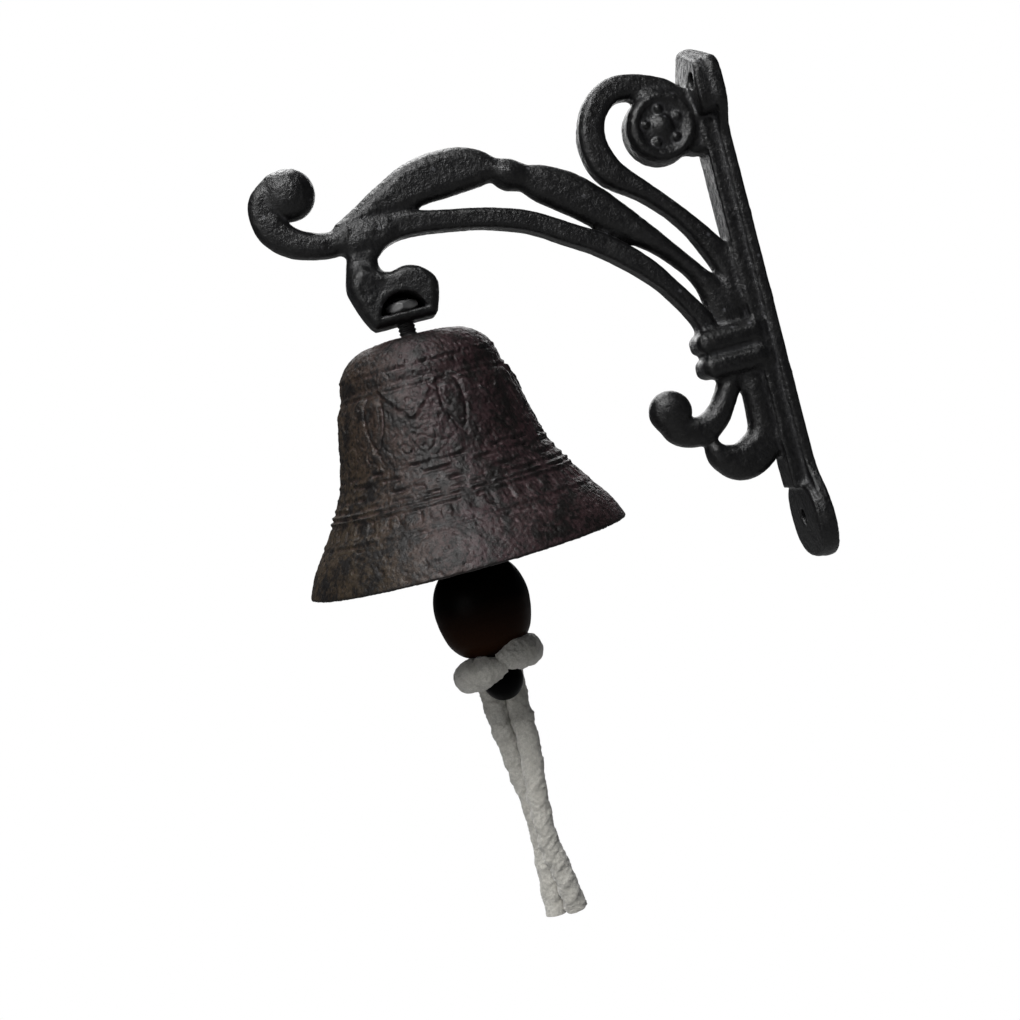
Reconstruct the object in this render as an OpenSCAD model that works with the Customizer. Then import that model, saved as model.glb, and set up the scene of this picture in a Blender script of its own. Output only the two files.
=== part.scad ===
// Wall mounted bell: a scrolled cast-iron bracket, a cast bell hung from the
// bracket's hook on an eye bolt, a clapper on a link, and a short pull rope.
// +X points out of the bracket's side, +Z up, and the wall is the plane Y = 0
// with the room on its -Y side. The origin is the middle of the plate's back.

/* [Wall plate] */
// Height between the upper pair of wall screws and the lower one
hole_spacing = 128; // [110:1:140]
// Distance between the upper two screws, one each side of the scroll
hole_pair = 13; // [12.6:0.1:14]
// Diameter of a wall screw hole
hole_d = 4.5; // [3.5:0.1:4.6]
// Radius of the round ear at each end of the plate
ear_r = 12; // [10:0.5:13]
// Thickness of an ear
ear_t = 4.6; // [3.5:0.1:5.5]
// Width of the plate between the ears
plate_w = 13; // [11:0.5:16]
// Thickness of the flat of the plate
plate_t = 3; // [2.5:0.1:3.5]
// Width of the rib along the plate
rib_w = 9; // [7:0.5:10]
// Distance from the wall to the front of the rib
rib_front = 7.1; // [6:0.1:7.4]

/* [Bracket] */
// Thickness of the scrolls and arms, side to side
arm_t = 8; // [6:0.5:9]
// Thickness of the bell boss, side to side
boss_t = 14; // [12:0.5:16]
// Width of the collar band, side to side
collar_w = 14; // [13:0.5:16]

/* [Bell] */
// Distance from the wall to the middle of the bell
reach = 103; // [102:0.5:104]
// Radius of the bell's mouth
mouth_r = 45.5; // [43:0.5:46]
// Height of the bell
bell_h = 63.4; // [61.4:0.5:64.4]
// Thickness of the bell's wall
wall_t = 3.2; // [2.5:0.1:3.6]
// Diameter of the eye bolt's shank
bolt_d = 5; // [4.6:0.1:5.2]

/* [Clapper] */
// Radius of the clapper's ball
ball_r = 13.7; // [12:0.1:14]
// Diameter of the clapper's rod
rod_d = 3.4; // [3:0.1:4]
// Diameter of the pull rope
rope_d = 6.2; // [5.5:0.1:6.4]

/* [Hidden] */
$fn = 48;

// Colours
iron = [0.17, 0.17, 0.18];
rusty = [0.33, 0.26, 0.24];
steel = [0.36, 0.35, 0.34];
cotton = [0.72, 0.70, 0.66];

// Plate
ear_z = hole_spacing / 2;
fillet_r = 10;
rib_half = 53;

// Levels along the bell's axis, from the boss down to the rope's end
boss_bottom = 18.8;
floor_t = 3;
floor_top = boss_bottom + floor_t;
pocket_r = 6.6;
pocket_depth = 5.8;
pocket_z = floor_top - 1.2;
crown_top = boss_bottom - 4;
crown_under = crown_top - wall_t;
mouth_z = crown_top - bell_h;
lip_r = mouth_r - 0.4;
washer_t = 0.8;
nut_t = 3.2;
nut_af = 8;
boss_nut_af = 9.2;
boss_nut_t = 3.2;
running_gap = 0.06;
play = 0.1;

// Eye, link and rod loop: ring radii are those of the wire's centre
eye_ring = 3.1;
eye_wire = 1.3;
eye_z = crown_under - washer_t - nut_t - 6;
link_ring = 2.9;
link_wire = 1;
loop_ring = 2.8;
loop_wire = 1.1;
sway_z = eye_z - eye_ring;
swing_z = sway_z - 5.5;
link_top = sway_z + eye_wire + link_wire + play;
link_upper = link_top - link_ring;
link_lower = swing_z + link_ring;
loop_z = swing_z + link_wire + loop_wire + play - loop_ring;

// Clapper's bob
ball_z = mouth_z - 13.4;
neck_r = 4.8;
knob_r = 5.9;
knob_z = ball_z - 22.9;
rod_depth = 9;

// Rope
hitch_ring = 9.1;
hitch_r = 4.2;
hitch_z = ball_z - 18.3;
rope_sides = 10;
rope_front_route = [[-8.3, -106, -83], [-10, -106, -95], [-11, -105, -108], [-11, -103.6, -121],
    [-11, -103, -134], [-11, -104, -145], [-10, -104.8, -157.5]];
rope_back_route = [[-8.3, -99.4, -83], [-9, -99.6, -95], [-6.4, -100, -108], [-4.7, -101.6, -121],
    [-4.7, -102, -134], [-5.4, -100.4, -145], [-7.2, -99, -156.5]];

// Members of the bracket: [distance from the wall, height, width] along the middle
scroll_path = [[-8.6, 11.8, 8], [-14.2, 21.8, 5.6], [-20.6, 30.8, 4.6], [-27.8, 38.4, 5.2],
    [-35.8, 46, 7.8], [-38.4, 54, 7.8], [-37, 60.8, 7.4], [-33.2, 65.8, 7.4], [-28, 67.9, 6.9],
    [-21, 66.6, 7.2], [-14.5, 62.4, 9], [-10, 56, 9], [-9.2, 48, 7]];
arm_path = [[-12, -5, 10], [-13.5, 3, 9.5], [-18.4, 11.8, 5.4], [-26.1, 21.7, 5.8],
    [-37.1, 32.5, 9.6], [-47.2, 41.8, 11.5], [-54.6, 46.8, 10.6], [-59.8, 50, 7.2],
    [-64, 52, 5.8], [-68.2, 54.5, 6.4], [-73.5, 56, 10.8], [-80, 56.6, 13], [-90, 55.7, 12.7],
    [-100, 52.5, 9.7], [-108, 50.3, 5.6], [-114, 49.4, 1.6]];
arc_path = [[-19.6, -5, 5], [-21.5, 1, 5], [-27.3, 10.2, 4.8], [-33.8, 18.2, 5.8], [-43, 26.2, 6],
    [-51.9, 31.8, 5.8], [-62, 37.8, 5.8], [-73, 41.5, 5.7], [-84, 43.6, 5.7], [-94, 45.2, 6.4],
    [-103, 45.2, 7.2], [-112, 45.2, 7.2]];
curl_path = [[-112, 45.2, 7.2], [-114, 45.2, 7.2], [-119.2, 45, 7], [-126.9, 47.7, 8],
    [-131.7, 52.8, 9], [-132.1, 59.3, 9], [-128.3, 63.8, 7]];
curl_bulb = [-124.8, 60.8];
curl_bulb_r = 7.2;
hook_path = [[-109, 45.2, 10], [-110.2, 39, 8.4], [-110.8, 32, 10], [-108, 26, 12]];
leaf_front_path = [[-16.2, -18.6, 6.6], [-19.5, -24.8, 6.6], [-23.7, -29.7, 7.6],
    [-29, -32, 8.6], [-34.8, -30.3, 8.6], [-37.2, -25, 8]];
leaf_bulb = [-36, -24.1];
leaf_bulb_r = 6;
leaf_back_path = [[-10.4, -18.6, 7.4], [-10.4, -27, 7.4], [-10.6, -35, 8],
    [-12.5, -40.6, 10.4], [-19.2, -43.9, 11], [-24.8, -42, 7.4], [-26.8, -39.6, 4.6]];
rosette = [-18.4, 54.2];
rosette_r = 10.2;
bead = [-64, 52];
collar_top = -5;
collar_bottom = -18.6;
collar_front = -22.6;
waist_w = collar_w - 3;

// ---- Curves ----

// Point at t between p1 and p2 on a smooth curve through four points
function smooth_point(p0, p1, p2, p3, t) =
    0.5 * (2 * p1 + (p2 - p0) * t + (2 * p0 - 5 * p1 + 4 * p2 - p3) * t * t
    + (3 * p1 - p0 - 3 * p2 + p3) * t * t * t);

// Smooth curve through a list of points, with n steps between neighbours
function smooth(p, n = 5) = [
    for (i = [0:len(p) - 2], k = [0:n - 1])
        smooth_point(p[max(i - 1, 0)], p[i], p[i + 1], p[min(i + 2, len(p) - 1)], k / n),
    p[len(p) - 1]];

// Points of an arc in a plane
function arc(centre, r, from, to, n = 12) =
    [for (k = [0:n]) centre + r * [cos(from + (to - from) * k / n), sin(from + (to - from) * k / n)]];

function flat(p) = [p[0], p[1]];
function unit(v) = v / norm(v);
function along(p, i) = unit(flat(p[min(i + 1, len(p) - 1)]) - flat(p[max(i - 1, 0)]));
function side(p, i, sign) = flat(p[i]) + sign * p[i][2] / 2 * [-along(p, i)[1], along(p, i)[0]];

// Round tip beyond the last point of a strip
function tip(p) = let (n = len(p) - 1, a = atan2(along(p, n)[1], along(p, n)[0]))
    arc(flat(p[n]), p[n][2] / 2, a + 80, a - 80, 8);

// Outline of a strip whose middle and width are given at each point
function strip_outline(p, round_tip) = concat(
    [for (i = [0:len(p) - 1]) side(p, i, 1)],
    round_tip ? tip(p) : [],
    [for (i = [len(p) - 1:-1:0]) side(p, i, -1)]);

// ---- Shapes that repeat ----

// Stands a shape drawn in [Y, Z] upright, t thick, in the middle of the bracket
module upright(t) {
    rotate([90, 0, 90]) translate([0, 0, -t / 2]) linear_extrude(t) children();
}

module strip(path, t, round_tip = false) {
    upright(t) polygon(strip_outline(smooth(path), round_tip));
}

// Round boss across the bracket, with chamfered rims
module bulb(at, r, t, chamfer = 1.5) {
    translate([0, at[0], at[1]]) rotate([0, 90, 0]) {
        cylinder(r = r, h = t - 2 * chamfer, center = true);
        for (m = [0, 1]) mirror([0, 0, m]) translate([0, 0, t / 2 - chamfer])
            cylinder(r1 = r, r2 = r - chamfer, h = chamfer);
    }
}

module ring(ring_r, wire_r) {
    rotate_extrude() translate([ring_r, 0]) circle(wire_r, $fn = 24);
}

module on_axis(z = 0) {
    translate([0, -reach, z]) children();
}

module hex(af, h) {
    cylinder(r = af / sqrt(3), h = h, $fn = 6);
}

// Tube swept along a route that hangs down, closed at both ends
module rope(route, d) {
    n = rope_sides;
    points = [for (p = route, k = [0:n - 1]) p + d / 2 * [cos(360 * k / n), sin(360 * k / n), 0]];
    sides = [for (i = [0:len(route) - 2], k = [0:n - 1])
        [i * n + k, i * n + (k + 1) % n, (i + 1) * n + (k + 1) % n, (i + 1) * n + k]];
    top = [for (k = [n - 1:-1:0]) k];
    bottom = [for (k = [0:n - 1]) (len(route) - 1) * n + k];
    polyhedron(points, concat([top, bottom], sides));
}

// ---- Wall plate ----

// Angle on the ear where the fillet meets it
fillet_x = plate_w / 2 + fillet_r;
fillet_drop = sqrt(pow(ear_r + fillet_r, 2) - pow(fillet_x, 2));
fillet_a = atan2(fillet_drop, fillet_x);

// One end of the plate's outline in [X, Z]: a fillet, the ear and a fillet
function ear_outline() = concat(
    arc([fillet_x, ear_z - fillet_drop], fillet_r, 180, 180 - fillet_a, 6),
    arc([0, ear_z], ear_r, -fillet_a, 180 + fillet_a, 28),
    arc([-fillet_x, ear_z - fillet_drop], fillet_r, fillet_a, 0, 6));

module plate_body() {
    bar_half = ear_z - fillet_drop;
    rotate([90, 0, 0]) {
        linear_extrude(plate_t) translate([-plate_w / 2, -bar_half]) square([plate_w, 2 * bar_half]);
        linear_extrude(ear_t) for (m = [0, 1]) mirror([0, m]) polygon(ear_outline());
        linear_extrude(rib_front) translate([-rib_w / 2, -rib_half]) square([rib_w, 2 * rib_half]);
    }
}

module wall_plate() {
    color(iron) difference() {
        plate_body();
        for (at = [[-hole_pair / 2, ear_z], [hole_pair / 2, ear_z], [0, -ear_z]])
            translate([at[0], 1, at[1]]) rotate([90, 0, 0]) cylinder(d = hole_d, h = rib_front + 2);
    }
}

// ---- Bracket members ----

module rosette_disc() {
    bulb(rosette, rosette_r, arm_t + 2, 1);
}

module upper_scroll() {
    color(iron) difference() {
        strip(scroll_path, arm_t);
        plate_body();
        rosette_disc();
    }
}

// Volute's eye, with a raised rim and five studs on each face
module scroll_rosette() {
    relief = 0.8;
    rim_r = 8.6;
    rim_inner_r = 7.2;
    middle_stud_r = 1.3;
    stud_r = 0.9;
    stud_ring_r = 4.2;
    color(iron) {
        difference() {
            rosette_disc();
            plate_body();
        }
        for (m = [0, 1]) mirror([m, 0, 0]) translate([arm_t / 2 + 1, rosette[0], rosette[1]])
            rotate([0, 90, 0]) {
                difference() {
                    cylinder(r = rim_r, h = relief);
                    translate([0, 0, -1]) cylinder(r = rim_inner_r, h = relief + 2);
                }
                cylinder(r = middle_stud_r, h = relief);
                for (a = [30:90:300]) rotate(a) translate([stud_ring_r, 0])
                    cylinder(r = stud_r, h = relief);
            }
    }
}

module main_arm() {
    color(iron) difference() {
        strip(arm_path, arm_t);
        strip(arc_path, arm_t + 1);
        strip(scroll_path, arm_t + 1);
        strip(curl_path, arm_t + 1);
        plate_body();
        collar_block();
    }
}

// Ring round the arm's waist, leaning with the arm
module arm_bead() {
    lean = 26;
    bead_r = 5.4;
    bead_w = 5;
    color(iron) difference() {
        translate([0, bead[0], bead[1]]) rotate([90 - lean, 0, 0])
            cylinder(r = bead_r, h = bead_w, center = true);
        strip(arm_path, arm_t);
        strip(arc_path, arm_t);
    }
}

module lower_arc() {
    color(iron) difference() {
        strip(arc_path, arm_t);
        collar_block();
    }
}

module front_curl() {
    color(iron) {
        strip(curl_path, arm_t);
        bulb(curl_bulb, curl_bulb_r, arm_t + 4, 2);
    }
}

// Outline of the boss in [Y, Z], from the left of its flat foot round its hump
function boss_outline() = concat(
    [[-111.4, boss_bottom], [-94.6, boss_bottom]],
    smooth([[-93.6, boss_bottom + 1], [-91.4, 27.6], [-94.4, 32.2], [-99, 34.2],
        [-104, 33.4], [-108, 34.6], [-112, 36], [-115.8, 31], [-112.6, boss_bottom + 1]], 4));

module bell_boss() {
    color(iron) difference() {
        union() {
            difference() {
                strip(hook_path, arm_t + 1);
                strip(arc_path, boss_t);
                strip(curl_path, boss_t);
            }
            upright(boss_t) polygon(boss_outline());
        }
        // Arched pocket for the nut, open on one side, and the bolt's bearing under it
        intersection() {
            on_axis(pocket_z) translate([-pocket_depth, 0, 0]) rotate([0, 90, 0])
                cylinder(r = pocket_r, h = boss_t);
            on_axis(floor_top) translate([-boss_t, -2 * pocket_r, 0])
                cube([2 * boss_t, 4 * pocket_r, 2 * pocket_r]);
        }
        on_axis(boss_bottom - 1) cylinder(d = bolt_d + 2 * running_gap, h = floor_t + 2);
    }
}

module collar_block() {
    translate([-waist_w / 2, collar_front, collar_bottom])
        cube([waist_w, -rib_front - collar_front, collar_top - collar_bottom]);
}

// Band round the bundle of arms: a waist between two ridges
module collar_band() {
    ridge_t = 5.4;
    setback = 0.6;
    corner_r = 3;
    color(iron) {
        collar_block();
        for (z = [collar_bottom + setback, collar_top - setback - ridge_t])
            translate([0, 0, z]) linear_extrude(ridge_t) polygon(concat(
                arc([collar_w / 2 - corner_r, collar_front + setback], corner_r, 0, -90, 6),
                arc([-collar_w / 2 + corner_r, collar_front + setback], corner_r, -90, -180, 6),
                [[-collar_w / 2, -rib_front], [collar_w / 2, -rib_front]]));
    }
}

module lower_scroll_front() {
    color(iron) difference() {
        union() {
            strip(leaf_front_path, arm_t);
            bulb(leaf_bulb, leaf_bulb_r, arm_t + 2);
        }
        strip(leaf_back_path, arm_t + 4, round_tip = true);
        collar_block();
    }
}

module lower_scroll_back() {
    color(iron) difference() {
        strip(leaf_back_path, arm_t, round_tip = true);
        plate_body();
        collar_block();
    }
}

// ---- Hanger ----

// Eye bolt: a plain shank through the boss and the crown, and a ring under it
module eye_bolt() {
    past_nut = 0.8;
    shank_top = floor_top + play + boss_nut_t + past_nut;
    color(steel) {
        on_axis(eye_z + eye_ring) cylinder(d = bolt_d, h = shank_top - eye_z - eye_ring);
        on_axis(eye_z) rotate([0, 90, 0]) ring(eye_ring, eye_wire);
    }
}

// Nut in the boss's pocket: a corner faces the open side, and its top is chamfered
module boss_nut() {
    chamfer = 1.2;
    chamfer_in = 0.7;
    corner_r = boss_nut_af / sqrt(3);
    color(steel) on_axis(floor_top + play) difference() {
        union() {
            hex(boss_nut_af, boss_nut_t - chamfer);
            translate([0, 0, boss_nut_t - chamfer])
                cylinder(r1 = corner_r, r2 = corner_r - chamfer_in, h = chamfer, $fn = 6);
        }
        translate([0, 0, -1]) cylinder(d = bolt_d, h = boss_nut_t + 2);
    }
}

module crown_washer() {
    washer_r = 5;
    bore_d = bolt_d + 4 * play;
    color(steel) on_axis(crown_under - washer_t) difference() {
        cylinder(r = washer_r, h = washer_t);
        translate([0, 0, -1]) cylinder(d = bore_d, h = washer_t + 2);
    }
}

module crown_nut() {
    color(steel) on_axis(crown_under - washer_t - nut_t) difference() {
        hex(nut_af, nut_t);
        translate([0, 0, -1]) cylinder(d = bolt_d, h = nut_t + 2);
    }
}

// ---- Bell ----

// Side of the bell in [radius, height] from the crown down to the lip, moved in by inset
function bell_side(inset) = let (top = crown_top, shoulder_r = 12) concat(
    arc([11.3, top - shoulder_r], shoulder_r - inset, 90, 0, 10),
    smooth([[25.3 - inset, top - 16.8], [29.3 - inset, top - 33.8], [31.7 - inset, top - 39.4],
        [36.8 - inset, top - 48], [mouth_r - 2.9 - inset, top - 56.7],
        [mouth_r - 0.1 - inset, mouth_z + 1.2], [lip_r - inset, mouth_z]], 4));

// A shell with three raised rings outside, each given as [radius, height]
module bell_shell() {
    raised_rings = [[22.8, crown_top - 12.4], [33.9, crown_top - 43.8], [35.2, crown_top - 45.8]];
    raised_ring_r = 0.8;
    color(rusty) on_axis() difference() {
        union() {
            rotate_extrude($fn = 96) polygon(concat([[0, crown_top]], bell_side(0), [[0, mouth_z]]));
            for (at = raised_rings)
                translate([0, 0, at[1]]) rotate_extrude($fn = 96) translate([at[0], 0])
                    circle(raised_ring_r, $fn = 16);
        }
        rotate_extrude($fn = 96) polygon(concat([[0, crown_under]], bell_side(wall_t), [[0, mouth_z]]));
        translate([0, 0, mouth_z - 1]) cylinder(r = lip_r - wall_t, h = 1.01);
        translate([0, 0, crown_under - 1]) cylinder(d = bolt_d + 2 * play, h = wall_t + 2);
    }
}

// ---- Clapper ----

// Oval link across the eye: two half rings and two straight sides
module clapper_link() {
    color(steel) on_axis() {
        for (end = [[link_upper, 0], [link_lower, 180]])
            translate([0, 0, end[0]]) rotate([0, end[1], 0]) rotate([90, 0, 0])
                rotate_extrude(angle = 180) translate([link_ring, 0]) circle(link_wire, $fn = 24);
        for (s = [-1, 1]) translate([s * link_ring, 0, link_lower])
            cylinder(r = link_wire, h = link_upper - link_lower);
    }
}

module clapper_rod() {
    rod_top = loop_z - loop_ring;
    rod_end = ball_z + ball_r - rod_depth;
    color(steel) on_axis() {
        translate([0, 0, loop_z]) rotate([0, 90, 0]) ring(loop_ring, loop_wire);
        translate([0, 0, rod_end]) cylinder(d = rod_d, h = rod_top - rod_end);
    }
}

// Half outline of the bob in [radius, height]: a ball that tapers down to its neck
function bob_side() = concat(
    arc([0, ball_z], ball_r, 90, -8, 16),
    smooth([[ball_r - 0.5, ball_z - 4.4], [12.4, ball_z - 7.4], [11.2, ball_z - 10.3],
        [8.9, ball_z - 13.2], [5.9, ball_z - 15.1], [neck_r, ball_z - 17]], 3),
    [[neck_r, knob_z], [0, knob_z]]);

module clapper_bob() {
    color(iron) on_axis() difference() {
        union() {
            rotate_extrude($fn = 64) polygon(bob_side());
            translate([0, 0, knob_z]) sphere(r = knob_r);
        }
        translate([0, 0, ball_z + ball_r - rod_depth]) cylinder(d = rod_d, h = rod_depth + 1);
    }
}

// ---- Pull rope ----

module rope_hitch() {
    color(cotton) on_axis(hitch_z) ring(hitch_ring, hitch_r);
}

module rope_tail_front() {
    color(cotton) rope(rope_front_route, rope_d);
}

module rope_tail_back() {
    color(cotton) rope(rope_back_route, rope_d);
}

wall_plate();
upper_scroll();
scroll_rosette();
main_arm();
arm_bead();
lower_arc();
front_curl();
bell_boss();
collar_band();
lower_scroll_front();
lower_scroll_back();
eye_bolt();
boss_nut();
crown_washer();
crown_nut();
bell_shell();
clapper_link();
clapper_rod();
clapper_bob();
rope_hitch();
rope_tail_front();
rope_tail_back();
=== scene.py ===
import math

import bpy
import numpy as np
import openvdb
from mathutils import Matrix, Vector


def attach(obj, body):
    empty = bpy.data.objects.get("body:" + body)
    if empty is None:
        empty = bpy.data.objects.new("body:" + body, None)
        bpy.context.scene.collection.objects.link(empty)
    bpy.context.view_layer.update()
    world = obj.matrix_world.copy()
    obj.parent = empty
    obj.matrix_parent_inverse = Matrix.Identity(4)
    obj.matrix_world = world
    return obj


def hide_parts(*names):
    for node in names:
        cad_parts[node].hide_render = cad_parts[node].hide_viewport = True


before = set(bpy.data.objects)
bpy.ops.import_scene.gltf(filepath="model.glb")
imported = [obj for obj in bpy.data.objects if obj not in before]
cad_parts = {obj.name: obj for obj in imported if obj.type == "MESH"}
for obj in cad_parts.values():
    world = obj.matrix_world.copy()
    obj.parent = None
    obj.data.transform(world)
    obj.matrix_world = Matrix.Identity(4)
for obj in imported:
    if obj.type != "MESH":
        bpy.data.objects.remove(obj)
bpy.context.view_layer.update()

MM = 0.001

# Dimensions that repeat the CAD's, in mm
AXIS_Y = -103.0
CROWN_TOP = 14.8
MOUTH_Z = -48.6
WALL_T = 3.2
BALL_Z = -62.0
BALL_R = 13.7
NECK_R = 4.8
KNOB_R = 5.9
KNOB_Z = BALL_Z - 22.9
BOLT_R = 2.5
EYE_Z = 1.6
EYE_RING_R = 3.1
EYE_WIRE_R = 1.3
POCKET_FLOOR = 21.8
POCKET_Z = 20.6
POCKET_R = 6.6
POCKET_DEPTH = 5.8
HOLES = ((-6.5, 64), (6.5, 64), (0, -64))
HOLE_R = 2.25

# One seeded source for all roughness, so each run gives the same model
rng = np.random.default_rng(11)


# ---- Camera, light and floor ----

# Where the photo was taken from, in mm, and how the camera was turned
CAMERA_AT = (408.9, -143.3, -14.2)
CAMERA_AZIMUTH = math.radians(82.34)
CAMERA_DIP = math.radians(3.46)
CAMERA_ROLL = math.radians(15.13)
CAMERA_LENS = 51.57
SENSOR = 36.0


def add_camera():
    """Looks at the bell from its side, a little from above, with the picture rolled."""
    azimuth, dip, roll = CAMERA_AZIMUTH, CAMERA_DIP, CAMERA_ROLL
    forward = Vector((-math.sin(azimuth) * math.cos(dip), math.cos(azimuth) * math.cos(dip),
                      -math.sin(dip)))
    level_right = forward.cross(Vector((0, 0, 1))).normalized()
    level_up = level_right.cross(forward)
    right = math.cos(roll) * level_right - math.sin(roll) * level_up
    up = math.cos(roll) * level_up + math.sin(roll) * level_right
    data = bpy.data.cameras.new("camera")
    data.lens = CAMERA_LENS
    data.sensor_width = SENSOR
    data.clip_start = 0.01
    data.clip_end = 50
    camera = bpy.data.objects.new("camera", data)
    bpy.context.collection.objects.link(camera)
    axes = Matrix((right, up, -forward)).transposed()
    camera.matrix_world = Matrix.Translation(Vector(CAMERA_AT) * MM) @ axes.to_4x4()
    bpy.context.scene.camera = camera


def aim(light, at, target):
    light.location = at
    light.rotation_euler = (Vector(target) - Vector(at)).to_track_quat("-Z", "Y").to_euler()


def add_area_light(name, at, target, size, power):
    data = bpy.data.lights.new(name, "AREA")
    data.shape = "DISK"
    data.size = size
    data.energy = power
    light = bpy.data.objects.new(name, data)
    bpy.context.collection.objects.link(light)
    aim(light, at, target)


def add_sky_light():
    """A very soft sun overhead."""
    data = bpy.data.lights.new("sky", "SUN")
    data.energy = 0.8
    data.angle = math.radians(50)
    light = bpy.data.objects.new("sky", data)
    bpy.context.collection.objects.link(light)
    aim(light, (0.35, -0.25, 1), (0, 0, 0))


def add_world():
    """White behind everything, and a dimmer pale grey as the light it gives."""
    world = bpy.data.worlds.new("studio")
    bpy.context.scene.world = world
    world.use_nodes = True
    nodes, links = world.node_tree.nodes, world.node_tree.links
    nodes.clear()
    seen = nodes.new("ShaderNodeBackground")
    seen.inputs["Color"].default_value = (1, 1, 1, 1)
    lit = nodes.new("ShaderNodeBackground")
    lit.inputs["Color"].default_value = (0.9, 0.93, 1, 1)
    lit.inputs["Strength"].default_value = 0.06
    path = nodes.new("ShaderNodeLightPath")
    mix = nodes.new("ShaderNodeMixShader")
    out = nodes.new("ShaderNodeOutputWorld")
    links.new(path.outputs["Is Camera Ray"], mix.inputs["Fac"])
    links.new(lit.outputs["Background"], mix.inputs[1])
    links.new(seen.outputs["Background"], mix.inputs[2])
    links.new(mix.outputs["Shader"], out.inputs["Surface"])


def add_floor():
    """Pale floor: it lights the bell from below only dimly, as grey card would."""
    half = 6.0
    z = -0.34
    mesh = bpy.data.meshes.new("floor")
    corners = [(-half, -half, z), (half, -half, z), (half, half, z), (-half, half, z)]
    mesh.from_pydata(corners, [], [(0, 1, 2, 3)])
    floor = bpy.data.objects.new("floor", mesh)
    bpy.context.collection.objects.link(floor)
    material = bpy.data.materials.new("pale_floor")
    material.use_nodes = True
    nodes, links = material.node_tree.nodes, material.node_tree.links
    card = nodes["Principled BSDF"]
    card.inputs["Base Color"].default_value = (0.3, 0.3, 0.3, 1)
    card.inputs["Roughness"].default_value = 0.9
    card.inputs["Specular IOR Level"].default_value = 0.1
    seen = nodes.new("ShaderNodeEmission")
    seen.inputs["Color"].default_value = (1, 1, 1, 1)
    path = nodes.new("ShaderNodeLightPath")
    mix_shader = nodes.new("ShaderNodeMixShader")
    links.new(path.outputs["Is Camera Ray"], mix_shader.inputs["Fac"])
    links.new(card.outputs["BSDF"], mix_shader.inputs[1])
    links.new(seen.outputs["Emission"], mix_shader.inputs[2])
    links.new(mix_shader.outputs["Shader"], nodes["Material Output"].inputs["Surface"])
    mesh.materials.append(material)


def add_lights():
    middle = (0, -0.07, -0.02)
    add_sky_light()
    add_area_light("key", (0.55, -0.3, 0.6), middle, 0.3, 7.2)
    add_area_light("side", (0.6, -0.75, 0.1), middle, 0.5, 1.2)
    add_area_light("back", (-0.3, -0.1, 0.6), middle, 0.35, 4)
    add_area_light("far_side", (-0.8, 0.1, 0.25), middle, 0.6, 3)


# ---- Curves ----

def smooth(points, steps=5):
    """Catmull-Rom curve through points, with steps between neighbours."""
    p = np.array(points, float)
    ends = np.vstack([p[:1], p, p[-1:]])
    made = []
    for i in range(len(p) - 1):
        a, b, c, d = ends[i:i + 4]
        for t in np.arange(steps) / steps:
            made.append(0.5 * (2 * b + (c - a) * t + (2 * a - 5 * b + 4 * c - d) * t**2
                               + (3 * b - a - 3 * c + d) * t**3))
    return np.array(made + [p[-1]])


def ridge(distance, width):
    """A smooth bump, 1 where distance is 0."""
    return np.exp(-(distance / width) ** 2)


def between(value, low, high, soft):
    """1 between two limits, falling smoothly to 0 outside them."""
    return 1 / (1 + np.exp((low - value) / soft)) / (1 + np.exp((value - high) / soft))


class Waves:
    """Smooth seeded noise: a sum of plane waves with wavelengths between two sizes, in mm."""

    def __init__(self, short, long, count=14):
        direction = rng.normal(size=(count, 3))
        direction /= np.linalg.norm(direction, axis=1, keepdims=True)
        length = rng.uniform(short, long, size=(count, 1))
        self.k = direction * 2 * math.pi / length
        self.phase = rng.uniform(0, 2 * math.pi, size=count)

    def __call__(self, points):
        total = np.zeros(len(points))
        for k, phase in zip(self.k, self.phase):
            total += np.sin(points @ k + phase)
        return total / math.sqrt(len(self.phase) / 2)


# ---- Pieces from meshes ----

def add_piece(name, vertices, faces, material, body, replaced=()):
    """A smooth-shaded mesh piece; vertices are in mm, in the CAD frame."""
    mesh = bpy.data.meshes.new(name)
    mesh.from_pydata((np.asarray(vertices) * MM).tolist(), [], [tuple(f) for f in faces])
    mesh.polygons.foreach_set("use_smooth", [True] * len(mesh.polygons))
    mesh.materials.append(material)
    mesh.validate()
    piece = bpy.data.objects.new(name, mesh)
    bpy.context.collection.objects.link(piece)
    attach(piece, body)
    if replaced:
        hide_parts(*replaced)
    return piece


def wrapped(rows, columns, closed):
    """Quads over rows of points, each a ring; closed joins the last row to the first."""
    faces = []
    for i in range(rows if closed else rows - 1):
        a, b = i * columns, (i + 1) % rows * columns
        for k in range(columns):
            n = (k + 1) % columns
            faces.append((a + k, a + n, b + n, b + k))
    if not closed:
        last = (rows - 1) * columns
        faces.append(tuple(range(columns - 1, -1, -1)))
        faces.append(tuple(range(last, last + columns)))
    return faces


def even(profile, step):
    """The same [radius, height] line, with points a step apart."""
    profile = np.asarray(profile, float)
    run = np.concatenate([[0], np.cumsum(np.hypot(*np.diff(profile, axis=0).T))])
    at = np.linspace(0, run[-1], max(int(run[-1] / step), 2))
    return np.stack([np.interp(at, run, profile[:, 0]), np.interp(at, run, profile[:, 1])], 1)


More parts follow.
